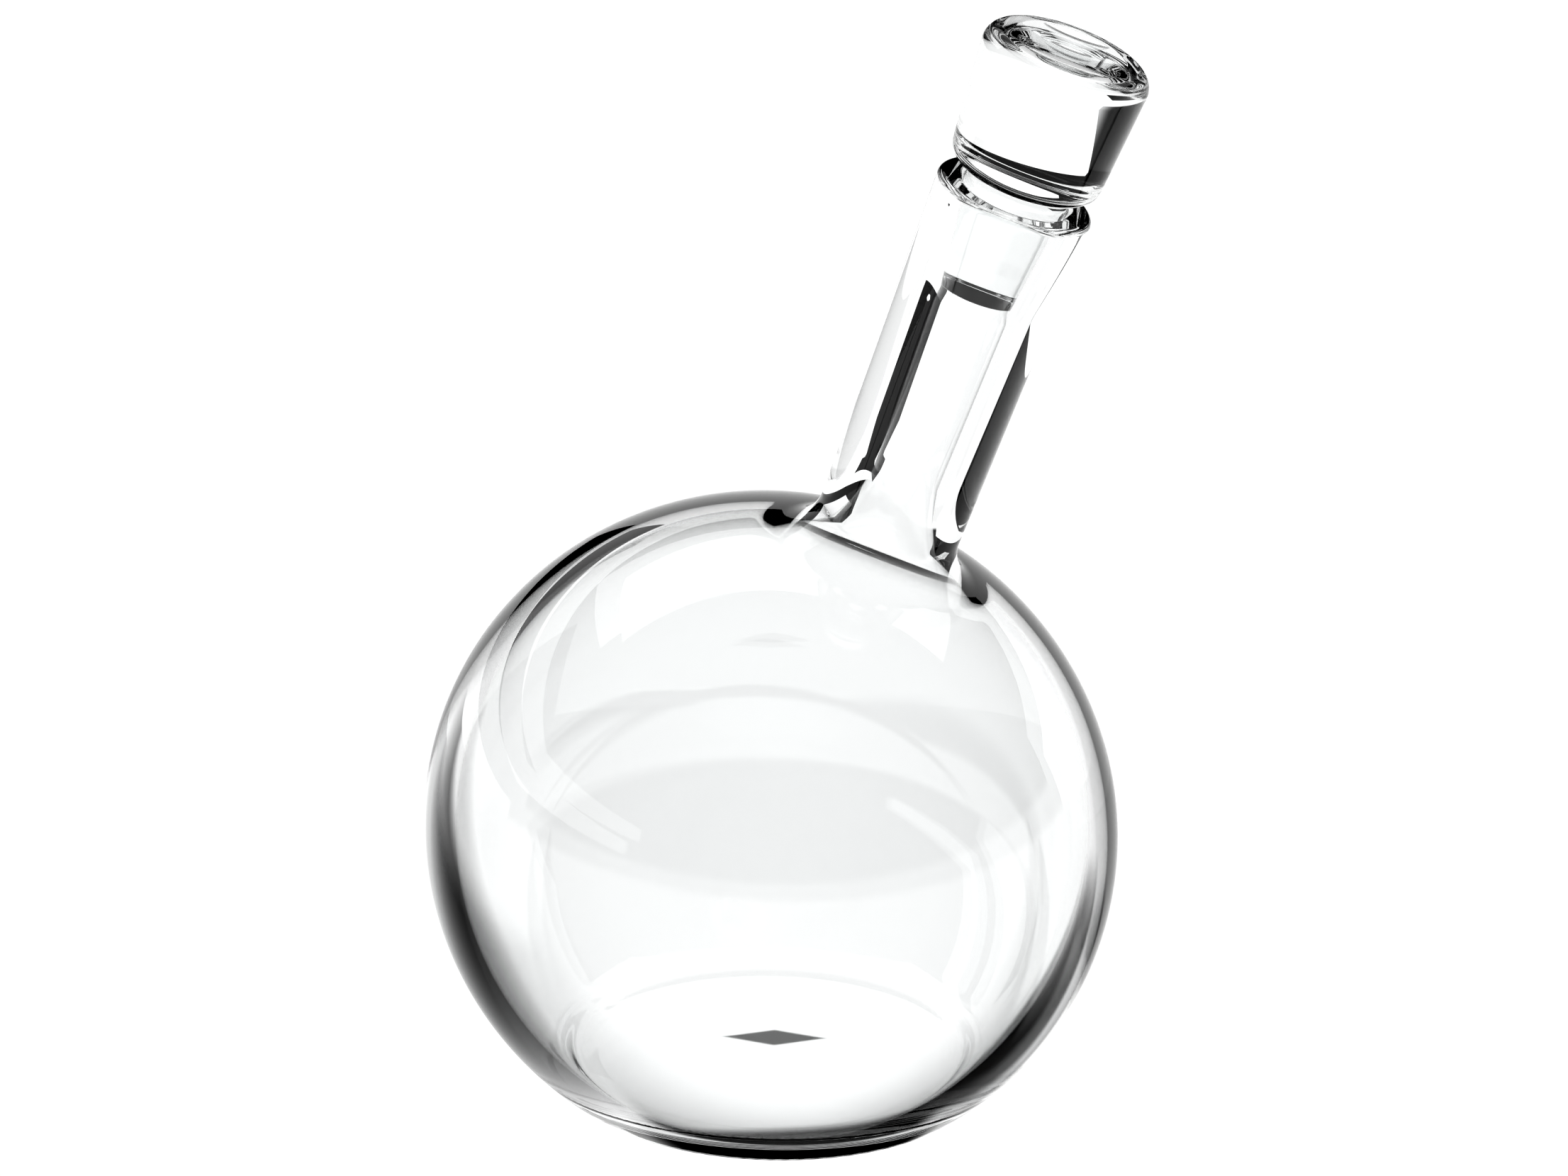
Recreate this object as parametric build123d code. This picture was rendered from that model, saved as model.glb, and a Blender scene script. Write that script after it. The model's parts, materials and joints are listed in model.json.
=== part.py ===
"""Leaning wine decanter: a blown glass vessel and the ground glass stopper that closes it.

The vessel is one thick-walled bubble, slightly flatter along its neck than across it.
Its foot is a flat ground on the lower side, so the neck stands over to the right.
The bore of the neck is ground to a taper, and the solid stopper is ground to match it.
The body and the neck are one piece of glass. They are kept as two solids that meet in a flat ring
just above the shoulder, where the neck is worked up from the bubble.

Millimetres, +Z up. The origin is the point of the flat foot below the middle of the bubble, and
the neck leans towards +X. Each piece is drawn upright round the neck axis, with the middle of the
bubble at the origin, and is then tipped over and lifted onto its foot.
"""

import os
from math import cos, hypot, radians, sin

from build123d import *

# --- The bubble ---
BODY_RADIUS = 76.0  # across the neck axis
BODY_HALF_HEIGHT = 73.0  # along the neck axis
LEAN_ANGLE = 19.0  # neck axis from the vertical
FOOT_CUT = 14.8  # how much of the bubble's lowest side is ground away
FOOT_EDGE_ROUNDING = 5.0

# --- The hollow ---
SIDE_WALL = 6.3
END_WALL = 4.5  # along the neck axis, before the hollow is raised
CAVITY_RISE = 1.0  # the hollow sits a little nearer the neck, so the wall is thinner up there
BASE_THICKNESS = 7.5
CAVITY_FLOOR_ROUNDING = 12.0

# --- The stopper ---
PLUG_TOP_RADIUS = 11.4
PLUG_END_RADIUS = 8.2
PLUG_DEPTH = 22.0  # how far the plug reaches below the rim
PLUG_ROOT_ROUNDING = 0.6
PLUG_END_ROUNDING = 0.8
HEAD_GAP = 3.5  # daylight between the rim and the underside of the head
HEAD_OVERHANG = 4.6  # how far the head's lower edge stands out past the plug
HEAD_FLARE = 2.2  # how much wider the head is at the top
HEAD_HEIGHT = 29.5
HEAD_LOW_ROUNDING = 4.0
HEAD_TOP_ROUNDING = 3.6
DISH_BORDER = 5.6  # from the head's widest ring in to the shallow dish ground into its top
DISH_DEPTH = 1.8
DISH_EDGE_ROUNDING = 1.0

# --- The neck ---
RIM_DISTANCE = 157.7  # from the middle of the bubble to the top of the rim
RIM_WALL = 5.7  # glass round the mouth of the ground bore
BORE_ROOT_RADIUS = 6.9  # the bore, carried down to the top of the bubble
NECK_WALL = 8.5  # glass round the bore at the root of the neck
SHOULDER_ROUNDING = 10.5  # outside, where the bubble runs into the neck
THROAT_ROUNDING = 30.0  # inside, where the hollow runs into the bore
RIM_OUTER_ROUNDING = 1.5
RIM_INNER_ROUNDING = 2.4
JOIN_RISE = 11.0  # from the top of the bubble up to the ring where the body and the neck meet

# --- Fits and margins ---
SOCKET_CLEARANCE = 0.06  # all round, between the ground plug and the ground bore
SOCKET_OVERRUN = 1.5  # the ground bore goes on a little past the end of the plug
CUT_MARGIN = 5.0  # how far a cutting solid reaches past what it cuts

# --- Heights along the neck axis, and the taper that the plug and the bore share ---
plug_end_height = RIM_DISTANCE - PLUG_DEPTH
head_base_height = RIM_DISTANCE + HEAD_GAP
head_top_height = head_base_height + HEAD_HEIGHT
join_height = BODY_HALF_HEIGHT + JOIN_RISE
socket_end_height = plug_end_height - SOCKET_OVERRUN
taper = (PLUG_TOP_RADIUS - PLUG_END_RADIUS) / (head_base_height - plug_end_height)

# --- Radii that follow from the plug, and the height of the bubble's middle above the table ---
socket_end_radius = PLUG_END_RADIUS + SOCKET_CLEARANCE - SOCKET_OVERRUN * taper
socket_rim_radius = PLUG_TOP_RADIUS + SOCKET_CLEARANCE - HEAD_GAP * taper
neck_root_radius = BORE_ROOT_RADIUS + NECK_WALL
bore_flare = (socket_end_radius - BORE_ROOT_RADIUS) / (socket_end_height - BODY_HALF_HEIGHT)
rim_radius = socket_rim_radius + RIM_WALL
neck_flare = (rim_radius - neck_root_radius) / (RIM_DISTANCE - BODY_HALF_HEIGHT)
head_low_radius = PLUG_TOP_RADIUS + HEAD_OVERHANG
head_top_radius = head_low_radius + HEAD_FLARE
dish_radius = head_top_radius - DISH_BORDER
cavity_half_height = BODY_HALF_HEIGHT - END_WALL
lean = radians(LEAN_ANGLE)
body_centre_height = hypot(BODY_RADIUS * sin(lean), BODY_HALF_HEIGHT * cos(lean)) - FOOT_CUT


def bubble_solid(radius, half_height, rise):
    """An egg-round solid spun round the neck axis, its middle lifted along that axis."""
    bottom = (0.0, rise - half_height)
    top = (0.0, rise + half_height)
    with BuildSketch(Plane.XZ) as sketch:
        with BuildLine():
            EllipticalCenterArc((0.0, rise), radius, half_height, start_angle=-90.0, arc_size=180.0)
            Line(top, bottom)
        make_face()
    return revolve(sketch.sketch, axis=Axis.Z)


def spun_outline(*points):
    """A solid spun round the neck axis from its (radius, height) corners."""
    with BuildSketch(Plane.XZ) as sketch:
        with BuildLine():
            Polyline(*points, close=True)
        make_face()
    return revolve(sketch.sketch, axis=Axis.Z)


def ring_edge(solid, radius, height):
    """The round edge of a spun solid that lies nearest to a given radius and height."""

    def miss(edge):
        box = edge.bounding_box()
        return abs(box.size.X / 2.0 - radius) + abs(box.size.Y / 2.0 - radius) + abs(box.center().Z - height)

    return min(solid.edges(), key=miss)


def circle_edge(solid, radius):
    """The round edge whose radius is nearest to the one given, however the solid is tipped."""
    circles = solid.edges().filter_by(GeomType.CIRCLE)
    return min(circles, key=lambda edge: abs(edge.radius - radius))


def level_edge(solid, height):
    """The closed edge that a level cut at the given height has left."""
    return min(solid.edges(), key=lambda edge: abs(edge.bounding_box().max.Z - height))


def block_above(height):
    """A block that covers everything above a height."""
    size = 2.0 * (head_top_height + BODY_RADIUS)
    return Pos(0.0, 0.0, height + size / 2.0) * Box(size, size, size)


def stood_up(solid):
    """Tips a piece over by the lean of the neck and lifts it onto the foot."""
    return Pos(0.0, 0.0, body_centre_height) * Rot(0.0, LEAN_ANGLE, 0.0) * solid


# --- The outside of the vessel ---
outside = bubble_solid(BODY_RADIUS, BODY_HALF_HEIGHT, 0.0) + spun_outline(
    (0.0, 0.0),
    (neck_root_radius - BODY_HALF_HEIGHT * neck_flare, 0.0),
    (rim_radius, RIM_DISTANCE),
    (0.0, RIM_DISTANCE),
)
shoulder = ring_edge(outside, neck_root_radius, BODY_HALF_HEIGHT)
outside = fillet(shoulder, SHOULDER_ROUNDING)
outside = stood_up(outside) & block_above(0.0)
outside = fillet(level_edge(outside, 0.0), FOOT_EDGE_ROUNDING)

# --- The hollow: a smaller bubble with a level floor, and the ground bore of the neck ---
hollow = bubble_solid(BODY_RADIUS - SIDE_WALL, cavity_half_height, CAVITY_RISE) + spun_outline(
    (0.0, 0.0),
    (BORE_ROOT_RADIUS - BODY_HALF_HEIGHT * bore_flare, 0.0),
    (socket_end_radius, socket_end_height),
    (socket_rim_radius, RIM_DISTANCE),
    (socket_rim_radius, RIM_DISTANCE + CUT_MARGIN),
    (0.0, RIM_DISTANCE + CUT_MARGIN),
)
throat = ring_edge(hollow, BORE_ROOT_RADIUS, cavity_half_height)
hollow = fillet(throat, THROAT_ROUNDING)
hollow = stood_up(hollow) & block_above(BASE_THICKNESS)
hollow = fillet(level_edge(hollow, BASE_THICKNESS), CAVITY_FLOOR_ROUNDING)

# --- The vessel, with the edges of its rim melted round ---
vessel = outside - hollow
vessel = fillet(circle_edge(vessel, rim_radius), RIM_OUTER_ROUNDING)
vessel = fillet(circle_edge(vessel, socket_rim_radius), RIM_INNER_ROUNDING)
above_join = stood_up(block_above(join_height))
vessel_body = vessel - above_join
vessel_neck = vessel & above_join

# --- The stopper: a solid head that widens upwards, dished on top, over a tapered plug ---
plug = spun_outline(
    (0.0, plug_end_height),
    (PLUG_END_RADIUS, plug_end_height),
    (PLUG_TOP_RADIUS, head_base_height),
    (0.0, head_base_height),
)
head = spun_outline(
    (0.0, head_base_height),
    (head_low_radius, head_base_height),
    (head_top_radius, head_top_height),
    (0.0, head_top_height),
)
plug = fillet(circle_edge(plug, PLUG_END_RADIUS), PLUG_END_ROUNDING)
head = fillet(circle_edge(head, head_low_radius), HEAD_LOW_ROUNDING)
head = fillet(circle_edge(head, head_top_radius), HEAD_TOP_ROUNDING)
dish_curve = (dish_radius**2 + DISH_DEPTH**2) / (2.0 * DISH_DEPTH)
dish = Pos(0.0, 0.0, head_top_height - DISH_DEPTH + dish_curve) * Sphere(dish_curve)
head = head - dish
head = fillet(circle_edge(head, dish_radius), DISH_EDGE_ROUNDING)
stopper = head + plug
stopper = fillet(circle_edge(stopper, PLUG_TOP_RADIUS), PLUG_ROOT_ROUNDING)
stopper = stood_up(stopper)

# --- Files ---
os.makedirs("parts", exist_ok=True)
export_step(vessel_body, "parts/vessel_body.step")
export_step(vessel_neck, "parts/vessel_neck.step")
export_step(stopper, "parts/stopper.step")
print(f"vessel {vessel.volume / 1000.0:.0f} cm3, holds {hollow.volume / 1000.0:.0f} cm3 to the brim")
print(f"stopper {stopper.volume / 1000.0:.0f} cm3")
print(f"overall height {stopper.bounding_box().max.Z:.1f} mm")
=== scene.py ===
# %% [markdown]
# # A leaning wine decanter in clear glass
#
# The real object is two pieces of glass. The vessel is a heavy blown bubble whose neck was drawn
# from the same gather, and whose foot was ground flat so that the neck stands over to one side.
# The stopper is a solid drop of glass with a dished head and a plug ground to fit the bore.
#
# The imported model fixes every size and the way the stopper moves. This lesson gives the two pieces
# finer surfaces, because clear glass shows each facet of a coarse mesh, and then lights them from a
# white table with dark areas on it, so that the edges of the glass show.

# %% Load the fixed frame
import json
import math

import bpy
import numpy as np
from mathutils import Matrix, Vector


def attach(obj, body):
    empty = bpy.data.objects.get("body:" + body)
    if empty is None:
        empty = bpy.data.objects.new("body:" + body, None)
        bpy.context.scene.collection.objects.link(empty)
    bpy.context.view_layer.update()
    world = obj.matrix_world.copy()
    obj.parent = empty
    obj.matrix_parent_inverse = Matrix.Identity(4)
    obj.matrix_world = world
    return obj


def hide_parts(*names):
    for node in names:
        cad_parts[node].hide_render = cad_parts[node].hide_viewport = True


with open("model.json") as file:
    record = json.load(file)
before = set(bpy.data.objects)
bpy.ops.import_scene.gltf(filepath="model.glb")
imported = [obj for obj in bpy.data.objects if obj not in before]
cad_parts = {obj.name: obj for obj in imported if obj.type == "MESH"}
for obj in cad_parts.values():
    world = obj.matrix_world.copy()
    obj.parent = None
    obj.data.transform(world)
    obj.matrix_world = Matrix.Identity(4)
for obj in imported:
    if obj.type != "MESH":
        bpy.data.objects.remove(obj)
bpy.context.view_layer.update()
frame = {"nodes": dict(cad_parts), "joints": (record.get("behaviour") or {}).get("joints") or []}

# %% [markdown]
# ## Where the neck axis runs
#
# Both pieces are round about one leaning line, the axis of the neck. Every shape below is drawn as
# (radius, height) along that line, and only then tipped over. The line's direction could be typed in
# as an angle, but the stopper's joint already slides along it, so the joint is asked instead, and the
# lean of the drawing can never differ from the way the stopper moves.

# %% The neck axis and the middle of the body
MM = 0.001
BODY_CENTRE_HEIGHT = 58.524 * MM

lift_joint = next(joint for joint in frame["joints"] if joint["name"] == "stopper_lift")
neck_axis = Vector(lift_joint["axis"]).normalized()
lean = math.atan2(neck_axis.x, neck_axis.z)
body_centre = Vector((0.0, 0.0, BODY_CENTRE_HEIGHT))
stand_up = Matrix.Translation(body_centre) @ Matrix.Rotation(lean, 4, "Y")
print(f"the neck leans {math.degrees(lean):.1f} degrees")


def along_axis(*nodes):
    """How far some nodes' points lie along the neck axis, from the body's middle, and out from it."""
    points = np.array([vertex.co for node in nodes for vertex in frame["nodes"][node].data.vertices])
    points = points - np.array(body_centre)
    heights = points @ np.array(neck_axis)
    radii = np.linalg.norm(points - heights[:, None] * np.array(neck_axis), axis=1)
    return heights, radii


vessel_heights, vessel_radii = along_axis("vessel_body", "vessel_neck")
stopper_heights, stopper_radii = along_axis("stopper")
BODY_RADIUS = float(vessel_radii.max())
RIM_HEIGHT = float(vessel_heights.max())
HEAD_TOP_HEIGHT = float(stopper_heights.max())
PLUG_END_HEIGHT = float(stopper_heights.min())
print(f"body radius {BODY_RADIUS / MM:.1f} mm, rim at {RIM_HEIGHT / MM:.1f} mm, stopper from "
      f"{PLUG_END_HEIGHT / MM:.1f} to {HEAD_TOP_HEIGHT / MM:.1f} mm")

# %% [markdown]
# ## Drawing round glass
#
# A blown vessel has a simple section made of arcs and nearly straight runs. One way to model it is to
# push a sphere about with a subdivision surface, but then the wall thickness wanders, and clear glass
# shows that at once. Here the section is drawn with exact arcs and spun, as a lathe would turn it.

# %% Arcs and straight runs
def arc(centre, radius, start, end, count):
    """Points on a circular arc, angles in degrees, measured from straight out."""
    angles = np.radians(np.linspace(start, end, count))
    return np.c_[centre[0] + radius * np.cos(angles), centre[1] + radius * np.sin(angles)]


def run(start, end, count):
    """Evenly spaced points on a straight run."""
    return np.linspace(start, end, count)


# %% [markdown]
# ## From a bubble into a neck
#
# A drawn neck leaves its bubble in one round sweep that touches both. Where the sweep begins on the
# bubble has no short formula when the bubble is flattened, so the place is found by halving: step to
# and fro on the bubble until a circle that rests on it also just touches the line of the neck.

# %% A bubble with a neck
SEARCH_FROM = 0.3
SEARCH_STEPS = 60


def neck_line(root, top):
    """A straight line through two (radius, height) points, as a point, a direction and its outward side."""
    start = np.array(root)
    direction = np.array(top) - start
    direction = direction / np.linalg.norm(direction)
    return start, direction, np.array([direction[1], -direction[0]])


def bubble_and_neck(radius, half_height, rise, root, top, rounding, count):
    """Section of a bubble from its lowest point up into a straight neck, with a round arc between them."""
    start, direction, outward = neck_line(root, top)

    def bubble_point(angle):
        point = np.array([radius * math.cos(angle), rise + half_height * math.sin(angle)])
        normal = np.array([half_height * math.cos(angle), radius * math.sin(angle)])
        return point, normal / np.linalg.norm(normal)

    def gap(angle):
        point, normal = bubble_point(angle)
        return np.dot(point + rounding * normal - start, outward) - rounding

    low, high = SEARCH_FROM, math.pi / 2.0
    for _ in range(SEARCH_STEPS):
        middle = (low + high) / 2.0
        low, high = (middle, high) if gap(middle) > 0.0 else (low, middle)
    point, normal = bubble_point(low)
    centre = point + rounding * normal
    touch = centre - rounding * outward
    turn_start = math.degrees(math.atan2(-normal[1], -normal[0])) % 360.0
    turn_end = math.degrees(math.atan2(-outward[1], -outward[0])) % 360.0
    angles = np.linspace(-math.pi / 2.0, low, count)
    bubble = np.c_[radius * np.cos(angles), rise + half_height * np.sin(angles)]
    shoulder = arc(centre, rounding, turn_start, turn_end, count // 3)
    return np.vstack([bubble, shoulder[1:], run(touch, top, count // 4)[1:]])


# %% [markdown]
# ## Melted corners
#
# No edge of fire-polished glass is sharp, and a sharp one would catch no light. A bevel modifier could
# soften them after spinning, but an arc in the section keeps each rounding exact.

# %% A rounded corner
def corner(before, point, after, rounding, count):
    """Points of a round arc that takes the corner at point off two straight runs."""
    point = np.array(point)
    first = np.array(before) - point
    second = np.array(after) - point
    first = first / np.linalg.norm(first)
    second = second / np.linalg.norm(second)
    half = math.acos(np.clip(np.dot(first, second), -1.0, 1.0)) / 2.0
    centre = point + (first + second) / np.linalg.norm(first + second) * rounding / math.sin(half)
    begin = point + first * rounding / math.tan(half) - centre
    finish = point + second * rounding / math.tan(half) - centre
    angle = math.atan2(begin[1], begin[0])
    turn = math.atan2(finish[1], finish[0]) - angle
    turn = (turn + math.pi) % (2.0 * math.pi) - math.pi
    angles = angle + np.linspace(0.0, turn, count)
    return np.c_[centre[0] + rounding * np.cos(angles), centre[1] + rounding * np.sin(angles)]


# %% [markdown]
# ## Spinning the section
#
# The screw modifier spins an outline too. Here the rings of points are made directly, because the foot
# and the floor of the hollow are pressed flat ring by ring, before faces join the rings.

# %% Spin a section into a closed mesh
SIDES_ROUND = 256


def spin(name, section, shape=None):
    """A closed mesh spun from a section that starts and ends on the axis, then tipped to the lean."""
    sides = SIDES_ROUND
    radii, heights = section[1:-1, 0], section[1:-1, 1]
    around = np.linspace(0.0, 2.0 * math.pi, sides, endpoint=False)
    rings = np.stack([
        radii[:, None] * np.cos(around),
        radii[:, None] * np.sin(around),
        np.repeat(heights[:, None], sides, axis=1),
    ], axis=2)
    points = np.vstack([
        rings.reshape(-1, 3),
        [[0.0, 0.0, section[0, 1]], [0.0, 0.0, section[-1, 1]]],
    ])
    tip = np.array(stand_up)
    points = points @ tip[:3, :3].T + tip[:3, 3]
    if shape is not None:
        points = shape(points)
    ring_count = len(radii)
    first, last = ring_count * sides, ring_count * sides + 1
    faces = []
    for ring in range(ring_count - 1):
        for side in range(sides):
            beside = (side + 1) % sides
            faces.append((
                ring * sides + side,
                ring * sides + beside,
                (ring + 1) * sides + beside,
                (ring + 1) * sides + side,
            ))
    top_ring = (ring_count - 1) * sides
    for side in range(sides):
        beside = (side + 1) % sides
        faces.append((first, beside, side))
        faces.append((last, top_ring + side, top_ring + beside))
    mesh = bpy.data.meshes.new(name)
    mesh.from_pydata(points.tolist(), [], faces)
    mesh.shade_smooth()
    mesh.update()
    piece = bpy.data.objects.new(name, mesh)
    bpy.context.scene.collection.objects.link(piece)
    print(f"{name}: {len(mesh.vertices)} points, {len(mesh.polygons)} faces")
    return piece


# %% [markdown]
# ## The vessel
#
# The outside is a bubble a little flatter along the neck than across it, a round shoulder and a neck
# that flares to the rim. The inside is a smaller bubble set slightly nearer the neck, so the wall is
# thinnest at the shoulder and heaviest at the foot, as glass runs when a bubble hangs from the iron.
# Both bubbles are pressed flat and level at the bottom: the foot outside, the floor inside.

# %% Vessel sizes
BODY_HALF_HEIGHT = 73.0 * MM
BUBBLE_POINTS = 180
SIDE_WALL = 6.3 * MM
CAVITY_HALF_HEIGHT = 68.5 * MM
CAVITY_RISE = 1.0 * MM
BASE_THICKNESS = 7.5 * MM
FOOT_SOFTNESS = 1.0 * MM
FLOOR_SOFTNESS = 4.0 * MM
NECK_ROOT_RADIUS = 15.4 * MM
RIM_RADIUS = 16.8 * MM
BORE_ROOT_RADIUS = 6.9 * MM
BORE_BLEND_ROUNDING = 25.0 * MM
SHOULDER_ROUNDING = 10.5 * MM
THROAT_ROUNDING = 30.0 * MM
RIM_OUTER_ROUNDING = 1.5 * MM
RIM_INNER_ROUNDING = 2.4 * MM
PLUG_TOP_RADIUS = 11.4 * MM
PLUG_END_RADIUS = 8.2 * MM
HEAD_GAP = 3.5 * MM
SOCKET_CLEARANCE = 0.06 * MM
SOCKET_OVERRUN = 1.5 * MM

head_base_height = RIM_HEIGHT + HEAD_GAP
taper = (PLUG_TOP_RADIUS - PLUG_END_RADIUS) / (head_base_height - PLUG_END_HEIGHT)
socket_rim_radius = PLUG_TOP_RADIUS + SOCKET_CLEARANCE - HEAD_GAP * taper
socket_end = (PLUG_END_RADIUS + SOCKET_CLEARANCE - SOCKET_OVERRUN * taper, PLUG_END_HEIGHT - SOCKET_OVERRUN)
print(f"the ground taper is {2.0 * taper:.3f} on the diameter")


# %% [markdown]
# ## Pressing the foot and the floor flat
#
# Cutting the bubble with a plane would leave a sharp ring and a flat face with long thin facets. Each
# low point is drawn in towards the body's middle instead, until it reaches the level, with a soft
# change at the edge. The rings stay whole, and the ground edge comes out slightly round.

# %% Helpers that press points flat
def soft_least(first, second, softness):
    """The smaller of two lengths, with a smooth change from one to the other."""
    blend = np.clip(softness - np.abs(first - second), 0.0, None) / softness
    return np.minimum(first, second) - blend**2 * softness / 4.0


def pressed_flat(points, level, softness):
    """Points drawn in towards the body's middle until none lies below a level, with a soft edge."""
    out = points - np.array(body_centre)
    reach = np.linalg.norm(out, axis=1)
    drop = np.clip(-out[:, 2], 1e-6, None)
    to_level = reach * (body_centre.z - level) / drop
    kept = soft_least(reach, to_level, softness)
    scale = np.where(out[:, 2] < 0.0, kept / np.maximum(reach, 1e-9), 1.0)
    return np.array(body_centre) + out * scale[:, None]


# %% The vessel's section
neck_flare = (RIM_RADIUS - NECK_ROOT_RADIUS) / (RIM_HEIGHT - BODY_HALF_HEIGHT)
outside_top = (RIM_RADIUS - RIM_OUTER_ROUNDING * neck_flare, RIM_HEIGHT - RIM_OUTER_ROUNDING)
outside_section = bubble_and_neck(
    BODY_RADIUS, BODY_HALF_HEIGHT, 0.0,
    (NECK_ROOT_RADIUS, BODY_HALF_HEIGHT), outside_top, SHOULDER_ROUNDING, BUBBLE_POINTS,
)
bore_blend = corner(
    (BORE_ROOT_RADIUS, BODY_HALF_HEIGHT), socket_end, (socket_rim_radius, RIM_HEIGHT),
    BORE_BLEND_ROUNDING, count=12,
)
inside_section = bubble_and_neck(
    BODY_RADIUS - SIDE_WALL, CAVITY_HALF_HEIGHT, CAVITY_RISE,
    (BORE_ROOT_RADIUS, BODY_HALF_HEIGHT), bore_blend[0], THROAT_ROUNDING, BUBBLE_POINTS,
)
rim_outer = corner(
    (NECK_ROOT_RADIUS, BODY_HALF_HEIGHT), (RIM_RADIUS, RIM_HEIGHT), (0.0, RIM_HEIGHT),
    RIM_OUTER_ROUNDING, count=16,
)
rim_inner = corner(
    (RIM_RADIUS, RIM_HEIGHT), (socket_rim_radius, RIM_HEIGHT), socket_end,
    RIM_INNER_ROUNDING, count=18,
)
ground_bore = run(rim_inner[-1], bore_blend[-1], count=24)
vessel_section = np.vstack([
    outside_section[:-1],
    rim_outer,
    rim_inner,
    ground_bore[1:-1],
    bore_blend[::-1],
    inside_section[-2::-1],
])
print(f"the vessel's section has {len(vessel_section)} points")

# %% [markdown]
# ## The vessel's mesh
#
# The outer rings are pressed to the table and the inner ones to the glass floor above it. The change
# from one to the other lies in the rim, where nothing is low enough to be pressed at all.

# %% The vessel's mesh
RINGS_INTO_RIM = 4
outside_ring_count = len(outside_section) + RINGS_INTO_RIM


def press_vessel(points):
    """Flattens the foot on the outer rings and the floor on the inner ones."""
    outer = outside_ring_count * SIDES_ROUND
    pressed = points.copy()
    pressed[:outer] = pressed_flat(points[:outer], 0.0, FOOT_SOFTNESS)
    pressed[outer:-2] = pressed_flat(points[outer:-2], BASE_THICKNESS, FLOOR_SOFTNESS)
    pressed[-2:-1] = pressed_flat(points[-2:-1], 0.0, FOOT_SOFTNESS)
    pressed[-1:] = pressed_flat(points[-1:], BASE_THICKNESS, FLOOR_SOFTNESS)
    return pressed


vessel = spin("vessel_glass_body", vessel_section, press_vessel)

# %% [markdown]
# ## The stopper
#
# The head is a short solid tumbler shape, wider at the top, with a heavy rounded lower edge and a
# shallow dish ground into its top. The plug below it is ground to the same taper as the bore.

# %% Stopper sizes
HEAD_LOW_RADIUS = 16.0 * MM
HEAD_TOP_RADIUS = 18.2 * MM
HEAD_LOW_ROUNDING = 4.0 * MM
HEAD_TOP_ROUNDING = 3.6 * MM
DISH_RADIUS = 12.6 * MM
DISH_DEPTH = 1.8 * MM
DISH_EDGE_ROUNDING = 1.0 * MM
PLUG_ROOT_ROUNDING = 0.8 * MM
PLUG_END_ROUNDING = 0.8 * MM
HEAD_HEIGHT = 29.5 * MM
head_top_height = head_base_height + HEAD_HEIGHT
print(f"the head is {2.0 * HEAD_TOP_RADIUS / MM:.1f} mm across and {HEAD_HEIGHT / MM:.1f} mm high")

# %% The stopper's section
dish_curve = (DISH_RADIUS**2 + DISH_DEPTH**2) / (2.0 * DISH_DEPTH)
dish_centre = (0.0, head_top_height - DISH_DEPTH + dish_curve)
dish_half = math.degrees(math.asin(DISH_RADIUS / dish_curve))
dish = arc(dish_centre, dish_curve, -90.0 + dish_half, -90.0, count=40)
plug_end = corner(
    (0.0, PLUG_END_HEIGHT), (PLUG_END_RADIUS, PLUG_END_HEIGHT), (PLUG_TOP_RADIUS, head_base_height),
    PLUG_END_ROUNDING, count=10,
)
plug_root = corner(
    (PLUG_END_RADIUS, PLUG_END_HEIGHT), (PLUG_TOP_RADIUS, head_base_height),
    (HEAD_LOW_RADIUS, head_base_height), PLUG_ROOT_ROUNDING, count=8,
)
head_low = corner(
    (PLUG_TOP_RADIUS, head_base_height), (HEAD_LOW_RADIUS, head_base_height),
    (HEAD_TOP_RADIUS, head_top_height), HEAD_LOW_ROUNDING, count=24,
)
head_top = corner(
    (HEAD_LOW_RADIUS, head_base_height), (HEAD_TOP_RADIUS, head_top_height), (0.0, head_top_height),
    HEAD_TOP_ROUNDING, count=24,
)
stopper_section = np.vstack([
    run((0.0, PLUG_END_HEIGHT), plug_end[0], count=12)[:-1],
    plug_end,
    run(plug_end[-1], plug_root[0], count=24)[1:-1],
    plug_root,
    head_low,
    run(head_low[-1], head_top[0], count=24)[1:-1],
    head_top,
    dish,
])

# %% The stopper's mesh
stopper = spin("stopper_solid_glass", stopper_section)

# %% [markdown]
# ## Clear glass
#
# Clear glass has almost no colour of its own. What the eye reads is how it bends what lies around it.
# It could be a bare Glass shader, but a Principled shader with full transmission carries over to other
# programs. Blown glass is never quite even, so a faint, slow noise tilts the surface a little. The
# stopper was ground and polished, so its noise is finer and far shallower.

# %% The glass material
GLASS_COLOUR = (0.985, 0.99, 0.99, 1.0)
GLASS_IOR = 1.5
BLOWN_RIPPLE_SCALE, BLOWN_RIPPLE_DEPTH = 18.0, 0.15 * MM
PRESSED_RIPPLE_SCALE, PRESSED_RIPPLE_DEPTH = 40.0, 0.02 * MM


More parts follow.
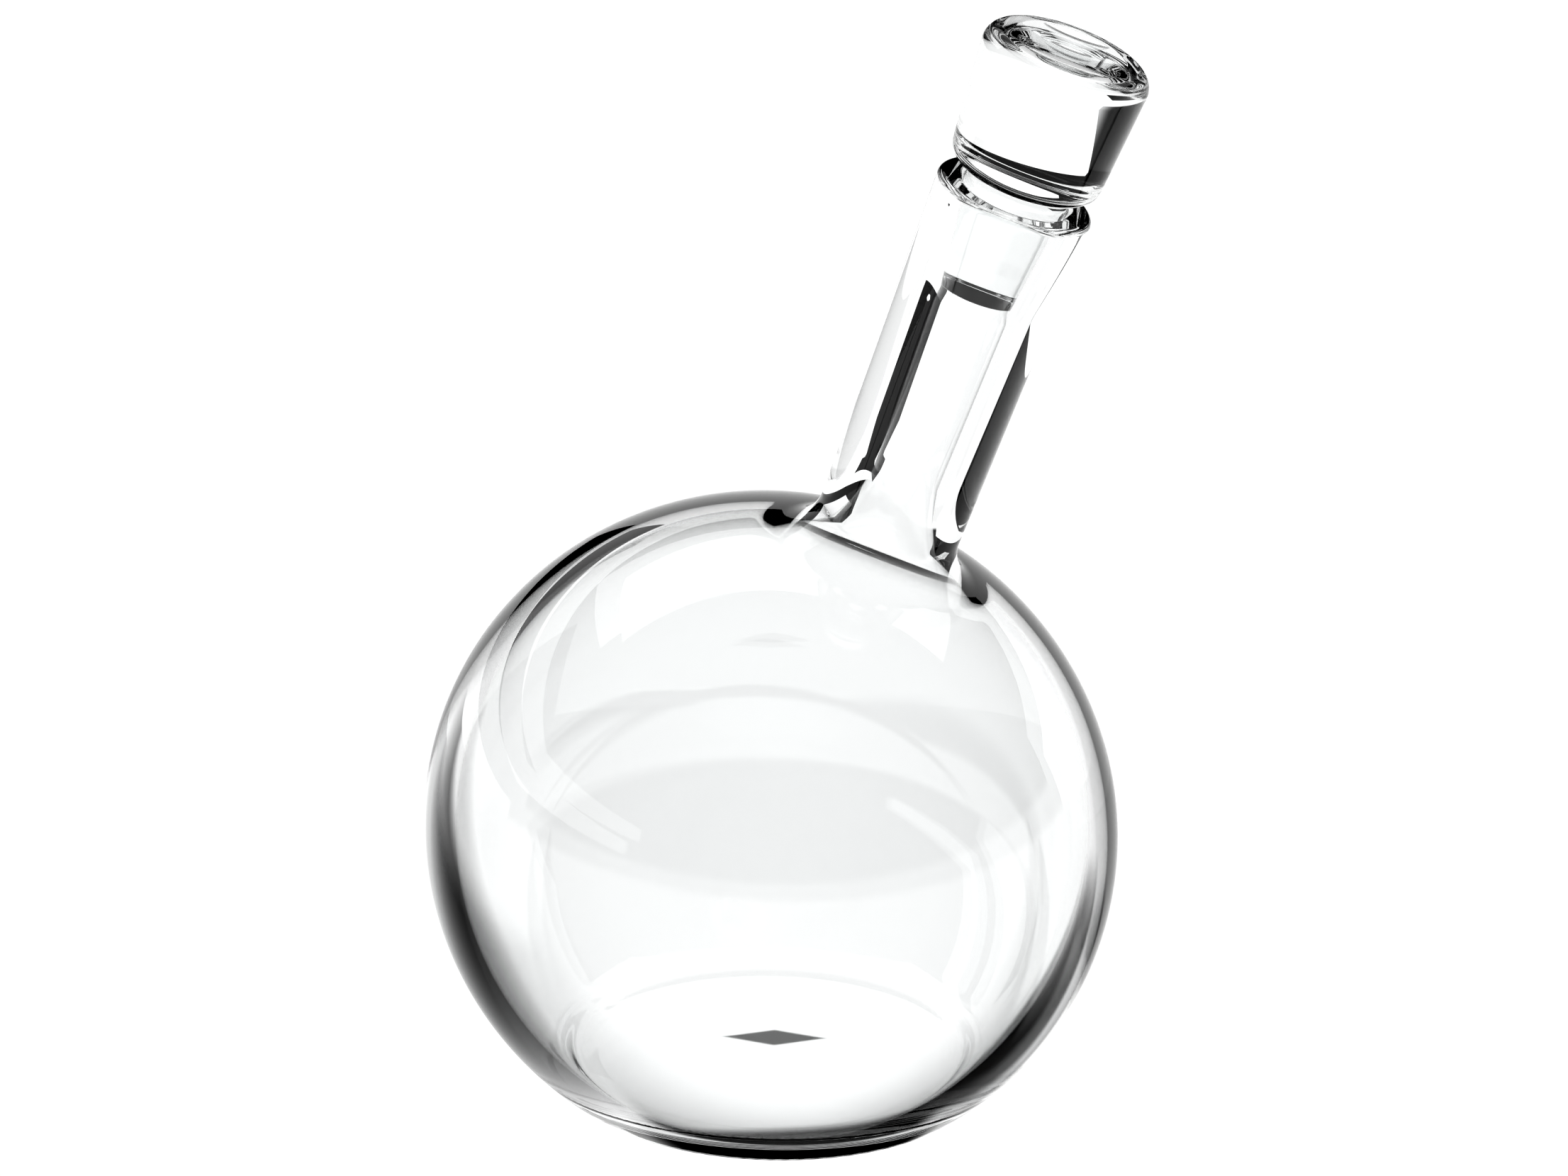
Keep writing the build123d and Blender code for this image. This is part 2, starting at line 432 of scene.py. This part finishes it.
def clear_glass(name, ripple_scale, ripple_depth):
    """Clear colourless glass whose surface is very slightly uneven, as hand-worked glass is."""
    material = bpy.data.materials.new(name)
    material.use_nodes = True
    nodes, links = material.node_tree.nodes, material.node_tree.links
    shader = nodes["Principled BSDF"]
    shader.inputs["Base Color"].default_value = GLASS_COLOUR
    shader.inputs["Transmission Weight"].default_value = 1.0
    shader.inputs["IOR"].default_value = GLASS_IOR
    shader.inputs["Roughness"].default_value = 0.0
    place = nodes.new("ShaderNodeTexCoord")
    ripple = nodes.new("ShaderNodeTexNoise")
    ripple.inputs["Scale"].default_value = ripple_scale
    ripple.inputs["Detail"].default_value = 1.0
    bump = nodes.new("ShaderNodeBump")
    bump.inputs["Strength"].default_value = 1.0
    bump.inputs["Distance"].default_value = ripple_depth
    links.new(place.outputs["Object"], ripple.inputs["Vector"])
    links.new(ripple.outputs["Fac"], bump.inputs["Height"])
    links.new(bump.outputs["Normal"], shader.inputs["Normal"])
    print(f"{name}: ripples {ripple_depth / MM:.2f} mm deep")
    return material


vessel.data.materials.append(clear_glass("blown clear glass", BLOWN_RIPPLE_SCALE, BLOWN_RIPPLE_DEPTH))
stopper.data.materials.append(clear_glass("pressed clear glass", PRESSED_RIPPLE_SCALE, PRESSED_RIPPLE_DEPTH))

# %% [markdown]
# ## Riding on the frame
#
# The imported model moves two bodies, the vessel and the stopper. Each finer mesh rides on one of them
# and stands in for its plain solids. The vessel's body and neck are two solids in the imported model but
# one piece of glass in fact, so a single mesh replaces both and no seam shows between them.

# %% What rides on what
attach(vessel, "vessel")
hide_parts("vessel_body", "vessel_neck")
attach(stopper, "stopper")
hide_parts("stopper")
print("the vessel and the stopper ride on their own bodies")

# %% [markdown]
# ## The floor
#
# The floor is plain and nearly white. An ordinary white floor would pick up the glass's shadow and
# bright patches, which a lit table under a decanter doesn't show, so this one gives off even light and
# only the camera sees it. What the glass bends into view is the light table, which comes next.

# %% Helpers for flat sheets, and the floor
FLOOR_SIZE = 6.0
FLOOR_DROP = 0.2 * MM
FLOOR_LIGHT = 1.05
BLACK = (0.0, 0.0, 0.0, 1.0)
WHITE = (1.0, 1.0, 1.0, 1.0)


def plane(name, size, place, turn=(0.0, 0.0, 0.0)):
    """A flat rectangle, size wide and deep, turned and put in place."""
    half_width, half_depth = size[0] / 2.0, size[1] / 2.0
    mesh = bpy.data.meshes.new(name)
    corners = [(-half_width, -half_depth, 0), (half_width, -half_depth, 0),
               (half_width, half_depth, 0), (-half_width, half_depth, 0)]
    mesh.from_pydata(corners, [], [(0, 1, 2, 3)])
    sheet = bpy.data.objects.new(name, mesh)
    sheet.location = place
    sheet.rotation_euler = turn
    bpy.context.scene.collection.objects.link(sheet)
    return sheet


def unlit(name):
    """A black surface that reflects nothing and can be given a glow."""
    material = bpy.data.materials.new(name)
    material.use_nodes = True
    shader = material.node_tree.nodes["Principled BSDF"]
    shader.inputs["Base Color"].default_value = BLACK
    shader.inputs["Specular IOR Level"].default_value = 0.0
    shader.inputs["Emission Color"].default_value = WHITE
    return material, shader


def glow(name, strength):
    """A plain surface that gives off even white light."""
    material, shader = unlit(name)
    shader.inputs["Emission Strength"].default_value = strength
    return material


floor = plane("floor", (FLOOR_SIZE, FLOOR_SIZE), (0.0, 0.0, -FLOOR_DROP))
floor.data.materials.append(glow("pale floor", FLOOR_LIGHT))
floor.visible_transmission = False
floor.visible_glossy = False
floor.visible_diffuse = False
floor.visible_shadow = False
print(f"floor: {FLOOR_SIZE:.0f} m square")

# %% [markdown]
# ## The light table
#
# Clear glass in perfectly even light all but vanishes. Its edges and the bore of its neck show only
# when something dark lies where the glass bends the view to. Plain soft light is the simpler choice,
# and the fairer one for judging a shape. This table was chosen for contrast instead: it is white, with
# a dark area on the left, in front and on the right, and only the glass shows it.
#
# The areas were placed to suit one camera. From other sides they show as dark patches in the glass,
# and those patches belong to the table, not to the decanter. The small dark diamond is a painted spot
# as well: no shape in the glass makes it, and without `spot_light` it is gone.
#
# All lengths are metres on the table. "Across" runs to the camera's right, "away" runs from it.

# %% Places and sizes of the dark areas
CAMERA_AZIMUTH = 25.3
TABLE_DROP = 0.1 * MM
GLASS_LIGHT = 1.1
LEFT_START, LEFT_SLOPE = 0.05, 0.47
LEFT_FADE, LEFT_FADE_SLOPE = 0.015, 0.12
LEFT_ENDS = (0.08, 0.14)
FRONT_START, FRONT_SLOPE = 0.0385, 0.15
FRONT_EDGE = (-0.003, 0.003)
FRONT_ENDS = (0.012, 0.035)
RIGHT_START, RIGHT_SLOPE = 0.062, 0.75
RIGHT_EDGE = (0.0, 0.008)
RIGHT_ENDS = (0.03, 0.06)
RIGHT_REACH = (0.04, 0.12)
SIDES_END = (0.045, 0.065)
SPREAD, SPREAD_LOSS = (0.0, 0.15), 0.08
SPOT_ACROSS, SPOT_AWAY = 0.002, 0.006
SPOT_HALF_WIDTH, SPOT_HALF_DEPTH = 0.013, 0.0045
SPOT_EDGE = (0.75, 1.0)
print(f"the dark areas start {LEFT_START / MM:.0f} mm left, {FRONT_START / MM:.0f} mm in front "
      f"and {RIGHT_START / MM:.0f} mm right of the middle")


# %% [markdown]
# ## Sums on nodes
#
# A pattern on a material is a chain of small sums. Written out node by node it is hard to read, so a
# small class adds the nodes, and the pattern can be written as arithmetic.

# %% Sums on a material's nodes
class NodeSums:
    """Adds nodes to one material; a value is a number or another node's output."""

    def __init__(self, material):
        self.nodes = material.node_tree.nodes
        self.links = material.node_tree.links

    def work(self, operation, first, second=0.0):
        """One sum on one or two values."""
        node = self.nodes.new("ShaderNodeMath")
        node.operation = operation
        for socket, value in zip(node.inputs, (first, second)):
            if isinstance(value, float):
                socket.default_value = value
            else:
                self.links.new(value, socket)
        return node.outputs[0]

    def smooth(self, value, ends):
        """A soft step from 0 to 1 while a value goes from the first end to the second."""
        node = self.nodes.new("ShaderNodeMapRange")
        node.interpolation_type = "SMOOTHSTEP"
        node.inputs["From Min"].default_value = ends[0]
        node.inputs["From Max"].default_value = ends[1]
        self.links.new(value, node.inputs["Value"])
        return node.outputs["Result"]

    def opposite(self, value):
        """1 less a value, which turns darkness into light."""
        return self.work("SUBTRACT", 1.0, value)

    def slanted(self, value, slope, start):
        """A straight line: start plus slope times a value."""
        return self.work("ADD", self.work("MULTIPLY", value, slope), start)


# %% [markdown]
# ## Three dark areas and a spot
#
# Each function gives the light that is left on the table, 1 where it is untouched and 0 where it is
# dark. Multiplied together they make the table. Every dark area ends again further out, so that the
# glass isn't ringed with black from the other sides.

# %% The dark areas
def left_light(sums, across, away, nearer):
    """Dark past a slanted line on the left, fading in more slowly further away."""
    past = sums.work("SUBTRACT", sums.slanted(away, -LEFT_SLOPE, -LEFT_START), across)
    fade = sums.slanted(sums.work("MAXIMUM", away, 0.0), LEFT_FADE_SLOPE, LEFT_FADE)
    inwards = sums.work("MULTIPLY", sums.work("MAXIMUM", past, 0.0), -1.0)
    light = sums.work("EXPONENT", sums.work("DIVIDE", inwards, fade))
    light = sums.work("MAXIMUM", light, sums.smooth(past, LEFT_ENDS))
    return sums.work("MAXIMUM", light, nearer)


def front_light(sums, across, away):
    """Dark past a slightly slanted line in front of the foot."""
    past = sums.work("SUBTRACT", sums.slanted(across, FRONT_SLOPE, -FRONT_START), away)
    light = sums.opposite(sums.smooth(past, FRONT_EDGE))
    return sums.work("MAXIMUM", light, sums.smooth(past, FRONT_ENDS))


def right_light(sums, across, away, nearer):
    """A dark stripe along a slanted line on the right, which stops a little way behind."""
    past = sums.work("SUBTRACT", across, sums.slanted(away, RIGHT_SLOPE, RIGHT_START))
    stripe = sums.work("SUBTRACT", sums.smooth(past, RIGHT_EDGE), sums.smooth(past, RIGHT_ENDS))
    stripe = sums.work("MULTIPLY", stripe, sums.opposite(sums.smooth(away, RIGHT_REACH)))
    return sums.work("MAXIMUM", sums.opposite(stripe), nearer)


def spot_light(sums, across, away):
    """A small painted diamond behind the middle of the foot."""
    from_side = sums.work("ABSOLUTE", sums.work("SUBTRACT", across, SPOT_ACROSS))
    from_front = sums.work("ABSOLUTE", sums.work("SUBTRACT", away, SPOT_AWAY))
    wide = sums.work("DIVIDE", from_side, SPOT_HALF_WIDTH)
    deep = sums.work("DIVIDE", from_front, SPOT_HALF_DEPTH)
    return sums.smooth(sums.work("ADD", wide, deep), SPOT_EDGE)


# %% The light table
def table_light(name, strength):
    """White light with dark areas on the left, in front and on the right, and a painted spot."""
    material, shader = unlit(name)
    sums = NodeSums(material)
    place = sums.nodes.new("ShaderNodeTexCoord")
    rotate = sums.nodes.new("ShaderNodeMapping")
    rotate.inputs["Rotation"].default_value = (0.0, 0.0, math.radians(-CAMERA_AZIMUTH))
    split = sums.nodes.new("ShaderNodeSeparateXYZ")
    sums.links.new(place.outputs["Object"], rotate.inputs["Vector"])
    sums.links.new(rotate.outputs["Vector"], split.inputs["Vector"])
    across, away = split.outputs["X"], split.outputs["Y"]
    # The side areas give way to light again in front of the foot.
    nearer = sums.smooth(sums.work("MULTIPLY", away, -1.0), SIDES_END)
    left = left_light(sums, across, away, nearer)
    front = front_light(sums, across, away)
    right = right_light(sums, across, away, nearer)
    spread = sums.smooth(sums.work("ABSOLUTE", across), SPREAD)
    middle = sums.opposite(sums.work("MULTIPLY", spread, SPREAD_LOSS))
    level = sums.work("MULTIPLY", sums.work("MULTIPLY", left, front), sums.work("MULTIPLY", right, middle))
    level = sums.work("MULTIPLY", level, spot_light(sums, across, away))
    sums.links.new(sums.work("MULTIPLY", level, strength), shader.inputs["Emission Strength"])
    return material


light_table = plane("light_table", (FLOOR_SIZE, FLOOR_SIZE), (0.0, 0.0, -TABLE_DROP))
light_table.data.materials.append(table_light("light table", GLASS_LIGHT))
light_table.visible_camera = False
print(f"light table: {len(light_table.data.materials[0].node_tree.nodes)} nodes in its pattern")

# %% [markdown]
# ## Cards behind the glass
#
# The neck stands above the table, so what shows in it is whatever stands behind. White cards give it a
# bright middle, and a low black card on the left gives the bore its dark line. They are upright sheets
# that only the glass shows. Area lights would light the glass too, but they can't give a dark line.

# %% A card, placed by how far right and how far away its ends are
camera_turn = math.radians(CAMERA_AZIMUTH)
to_right = Vector((math.cos(camera_turn), math.sin(camera_turn), 0.0))
to_back = Vector((-math.sin(camera_turn), math.cos(camera_turn), 0.0))
UPRIGHT = math.radians(90.0)


def card(name, start, end, low, high, material):
    """An upright card between two places, each given to the right and away from the camera."""
    first = to_right * start[0] + to_back * start[1]
    last = to_right * end[0] + to_back * end[1]
    along = last - first
    middle = (first + last) / 2.0 + Vector((0.0, 0.0, (low + high) / 2.0))
    angle = math.atan2(along.y, along.x)
    sheet = plane(name, (along.length, high - low), middle, (UPRIGHT, 0.0, angle))
    sheet.data.materials.append(material)
    sheet.visible_camera = False
    print(f"{name}: {along.length:.2f} m wide, from {low:.3f} to {high:.3f} m up")


# %% The cards
BACK_LEFT, BACK_RIGHT = (-0.085, 0.25), (0.7, 0.25)
SIDE_CORNER, SIDE_FRONT = (-0.6, 0.0), (-0.6, -0.6)
LOW_CARD_FOOT = 0.04
DARK_CARD_FOOT = 0.11
SIDE_DARK_FOOT = 0.10
DARK_CARD_TOP = 0.163
CARD_TOP = 0.225

white_card = glow("white card", GLASS_LIGHT)
black_card = glow("black card", 0.0)
card("back_card", BACK_LEFT, BACK_RIGHT, 0.0, CARD_TOP, white_card)
card("low_left_back_card", BACK_LEFT, SIDE_CORNER, LOW_CARD_FOOT, DARK_CARD_FOOT, white_card)
card("left_back_card", BACK_LEFT, SIDE_CORNER, DARK_CARD_FOOT, DARK_CARD_TOP, black_card)
card("left_card", SIDE_CORNER, SIDE_FRONT, SIDE_DARK_FOOT, DARK_CARD_TOP, black_card)
card("high_left_back_card", BACK_LEFT, SIDE_CORNER, DARK_CARD_TOP, CARD_TOP, white_card)
card("high_left_card", SIDE_CORNER, SIDE_FRONT, DARK_CARD_TOP, CARD_TOP, white_card)

# %% [markdown]
# ## The card overhead
#
# The flat top of the stopper and the rim reflect what hangs above. A wide white card there gives them
# soft highlights. It lies level, above and behind the decanter.

# %% The overhead card
OVERHEAD_SIZE = (1.6, 0.8)
OVERHEAD_BACK, OVERHEAD_HEIGHT = 0.65, 0.9
overhead_place = to_back * OVERHEAD_BACK + Vector((0.0, 0.0, OVERHEAD_HEIGHT))
overhead = plane("overhead_card", OVERHEAD_SIZE, overhead_place, (0.0, 0.0, camera_turn))
overhead.data.materials.append(white_card)
overhead.visible_camera = False
print(f"overhead card: {OVERHEAD_HEIGHT:.1f} m up, {OVERHEAD_BACK:.2f} m behind")

# %% [markdown]
# ## The room
#
# Behind the decanter the camera sees plain white. The glass sees a white room wherever a ray leaves it
# downwards and a dark one where it leaves upwards, and the dark half darkens the edges of the glass. A
# single pale room would be plainer and softer, and was given up for those edges.

# %% World
ROOM_WHITE_BELOW, ROOM_BLACK_ABOVE = -2.0, 1.5

world = bpy.data.worlds.new("studio")
bpy.context.scene.world = world
world.use_nodes = True
room_nodes, room_links = world.node_tree.nodes, world.node_tree.links
sky = room_nodes["Background"]
sky.inputs["Color"].default_value = WHITE
direction = room_nodes.new("ShaderNodeTexCoord")
split = room_nodes.new("ShaderNodeSeparateXYZ")
fade = room_nodes.new("ShaderNodeMapRange")
fade.interpolation_type = "SMOOTHSTEP"
fade.inputs["From Min"].default_value = math.sin(math.radians(ROOM_WHITE_BELOW))
fade.inputs["From Max"].default_value = math.sin(math.radians(ROOM_BLACK_ABOVE))
fade.inputs["To Min"].default_value = 1.0
fade.inputs["To Max"].default_value = 0.0
ray = room_nodes.new("ShaderNodeLightPath")
seen = room_nodes.new("ShaderNodeMath")
seen.operation = "MAXIMUM"
room_links.new(direction.outputs["Generated"], split.inputs["Vector"])
room_links.new(split.outputs["Z"], fade.inputs["Value"])
room_links.new(fade.outputs["Result"], seen.inputs[0])
room_links.new(ray.outputs["Is Camera Ray"], seen.inputs[1])
room_links.new(seen.outputs["Value"], sky.inputs["Strength"])
print(f"the room turns dark between {ROOM_WHITE_BELOW} and {ROOM_BLACK_ABOVE} degrees above level")

# %% [markdown]
# ## The camera
#
# The camera looks a little down, from the side that shows the neck leaning to the right. It is set by
# how far round, how high and how far off it stands, which is easier to change than a typed-in place.

# %% Camera
CAMERA_PITCH = 17.9
CAMERA_ROLL = 1.75
CAMERA_DISTANCE = 1.1
AIM_RIGHT = 1.2 * MM
AIM_UP = 55.1 * MM
LENS = 117.3
SENSOR_WIDTH = 36.0

pitch = math.radians(CAMERA_PITCH)
to_camera = -to_back * math.cos(pitch) + Vector((0.0, 0.0, math.sin(pitch)))
aim = body_centre + AIM_RIGHT * to_right + Vector((0.0, 0.0, AIM_UP))
camera_data = bpy.data.cameras.new("camera")
camera_data.lens = LENS
camera_data.sensor_width = SENSOR_WIDTH
camera = bpy.data.objects.new("camera", camera_data)
camera.location = aim + CAMERA_DISTANCE * to_camera
facing = to_camera.to_track_quat("Z", "Y").to_matrix()
camera.rotation_euler = (facing @ Matrix.Rotation(math.radians(CAMERA_ROLL), 3, "Z")).to_euler()
bpy.context.scene.collection.objects.link(camera)
bpy.context.scene.camera = camera
print(f"camera: {CAMERA_DISTANCE:.1f} m off, {CAMERA_PITCH} degrees above level")

# %% [markdown]
# ## View and light paths
#
# A ray through the neck and the plug crosses six surfaces or more, and may bounce inside the glass
# between them, so it needs more bounces than an ordinary scene, or the glass turns black inside. Paths
# aren't clamped, which would dull the highlights. The view's gamma is below 1, which deepens every
# dark that the glass shows.

# %% View settings
VIEW_GAMMA = 0.65
GLASS_BOUNCES = 24
GLOSSY_BOUNCES = 12

scene = bpy.context.scene
scene.view_settings.view_transform = "Standard"
scene.view_settings.gamma = VIEW_GAMMA
scene.cycles.max_bounces = GLASS_BOUNCES
scene.cycles.transmission_bounces = GLASS_BOUNCES
scene.cycles.glossy_bounces = GLOSSY_BOUNCES
scene.cycles.sample_clamp_indirect = 0.0
print(f"up to {GLASS_BOUNCES} bounces, gamma {VIEW_GAMMA}")
